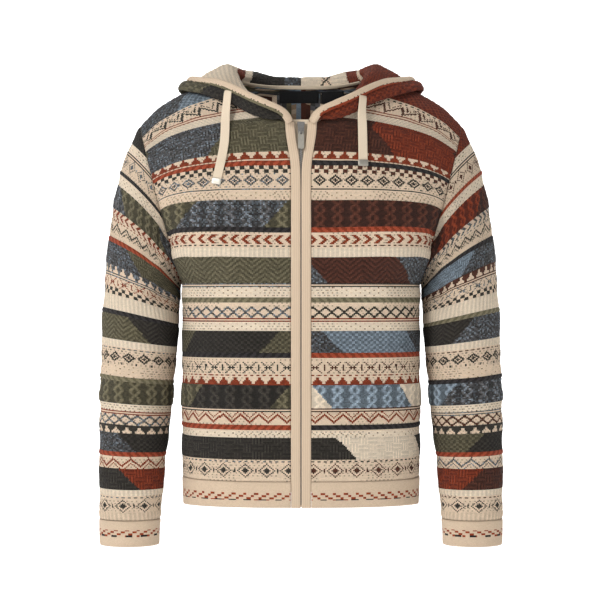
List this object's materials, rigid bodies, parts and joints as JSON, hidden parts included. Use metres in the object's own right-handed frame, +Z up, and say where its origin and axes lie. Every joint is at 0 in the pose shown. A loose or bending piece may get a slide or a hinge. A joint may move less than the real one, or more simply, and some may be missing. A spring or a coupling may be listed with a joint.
{
  "type": "knit zip-up hoodie",
  "caption": "Hollow worn-shape knit hoodie with full zip, lowered hood, flat drawstrings, dropped shoulders and banded hem and cuffs.",
  "frame": {"origin": "midway between the wearer's shoulders, at the level of the top of the chest, where a wearer or a form holds the garment", "axes": "+Z up, the front faces -Y, +X is the wearer's left"},
  "size_m": [0.6854, 0.3213, 0.8122],
  "materials": {
    "patterned_knit": "thick multicolour knit",
    "ecru_knit": "ribbed knit",
    "dark_cloth": "woven label",
    "nickel": "brushed"
  },
  "bodies": {
    "garment": {"back_left": "patterned_knit", "back_right": "patterned_knit", "front_left": "patterned_knit", "front_right": "patterned_knit", "sleeve_left_upper_front": "patterned_knit", "sleeve_left_upper_back": "patterned_knit", "sleeve_left_lower_front": "patterned_knit", "sleeve_left_lower_back": "patterned_knit", "sleeve_right_upper_front": "patterned_knit", "sleeve_right_upper_back": "patterned_knit", "sleeve_right_lower_front": "patterned_knit", "sleeve_right_lower_back": "patterned_knit", "hood_left": "patterned_knit", "hood_right": "patterned_knit", "hem_back_left": "ecru_knit", "hem_back_right": "ecru_knit", "hem_front_left": "ecru_knit", "hem_front_right": "ecru_knit", "cuff_left": "ecru_knit", "cuff_right": "ecru_knit", "placket_left": "ecru_knit", "placket_right": "ecru_knit", "hood_band": "ecru_knit", "neck_tape": "ecru_knit", "drawstring_left": "ecru_knit", "drawstring_right": "ecru_knit", "zip_tape": "ecru_knit", "neck_label": "dark_cloth", "care_label": "dark_cloth", "zip_teeth": "nickel", "zip_slider": "nickel", "tip_left": "nickel", "tip_right": "nickel"},
    "pull": {"zip_pull": "nickel"}
  },
  "joints": [
    {"name": "zip_pull_swing", "type": "hinge", "parent": "garment", "child": "pull", "pos_m": [0, -0.12901, -0.05752], "axis": [-1, 0, 0], "range_deg": [0, 150]}
  ]
}
